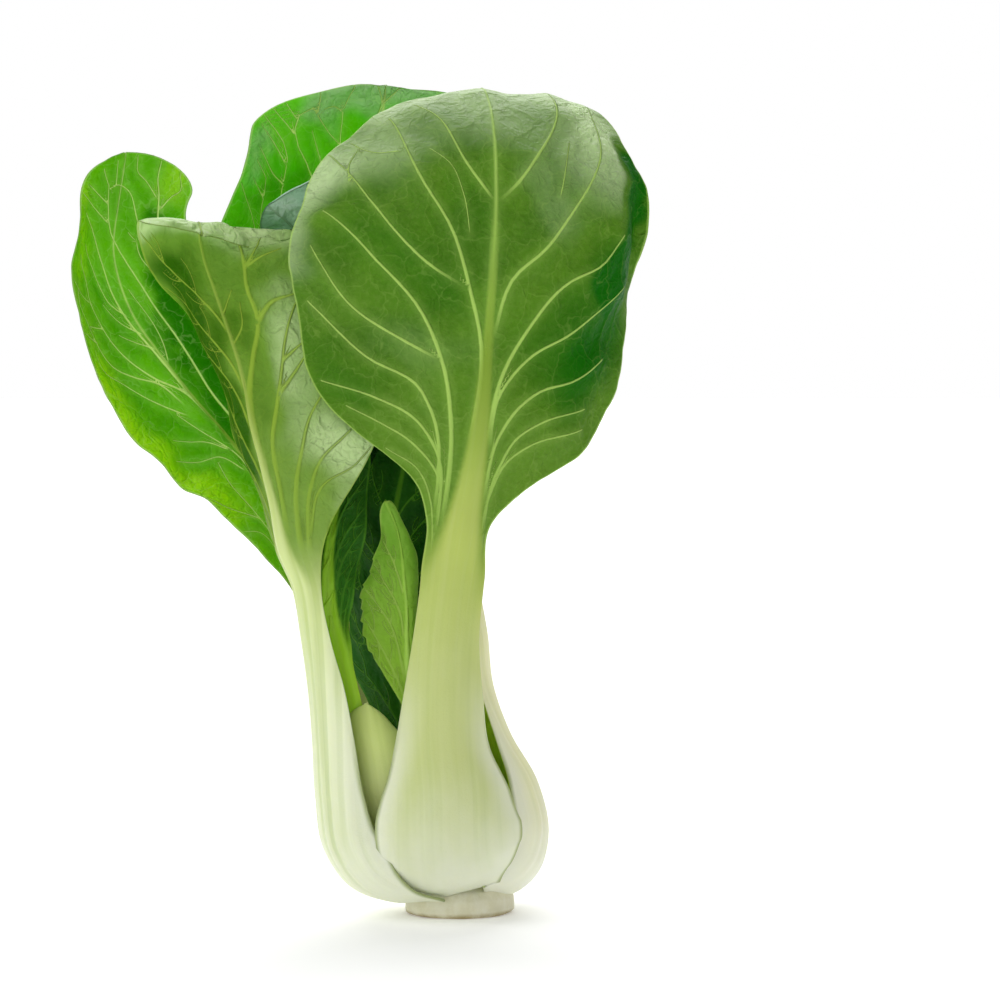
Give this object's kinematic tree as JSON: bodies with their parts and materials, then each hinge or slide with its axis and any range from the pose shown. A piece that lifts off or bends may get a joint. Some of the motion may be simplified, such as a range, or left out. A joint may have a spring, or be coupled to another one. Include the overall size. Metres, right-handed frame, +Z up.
{
  "type": "bok choy",
  "caption": "Head of bok choy standing on its cut stem: pale spoon-shaped stalks swell into a bulb at the foot and open into broad green leaves.",
  "frame": {"origin": "centre of the flat cut under the stem, where the head rests", "axes": "+Z up along the head towards the leaf tips, -Y towards the broad front leaf, +X to the right seen from the front"},
  "size_m": [0.1514, 0.0887, 0.2087],
  "materials": {
    "stem": "matt, moist cut stem",
    "outer_leaf": "satin, waxy leaf blade on a pale green-white stalk",
    "inner_leaf": "satin, tender inner leaf"
  },
  "bodies": {
    "root": {"cut_stem": "stem", "front_leaf": "outer_leaf", "left_leaf": "outer_leaf", "right_leaf": "outer_leaf", "back_leaf": "outer_leaf", "left_back_leaf": "outer_leaf", "right_back_leaf": "outer_leaf", "curled_leaf": "inner_leaf", "folded_leaf": "inner_leaf", "pale_inner_leaf": "inner_leaf", "left_inner_leaf": "inner_leaf", "right_inner_leaf": "inner_leaf", "dark_inner_leaf": "inner_leaf"}
  },
  "joints": []
}
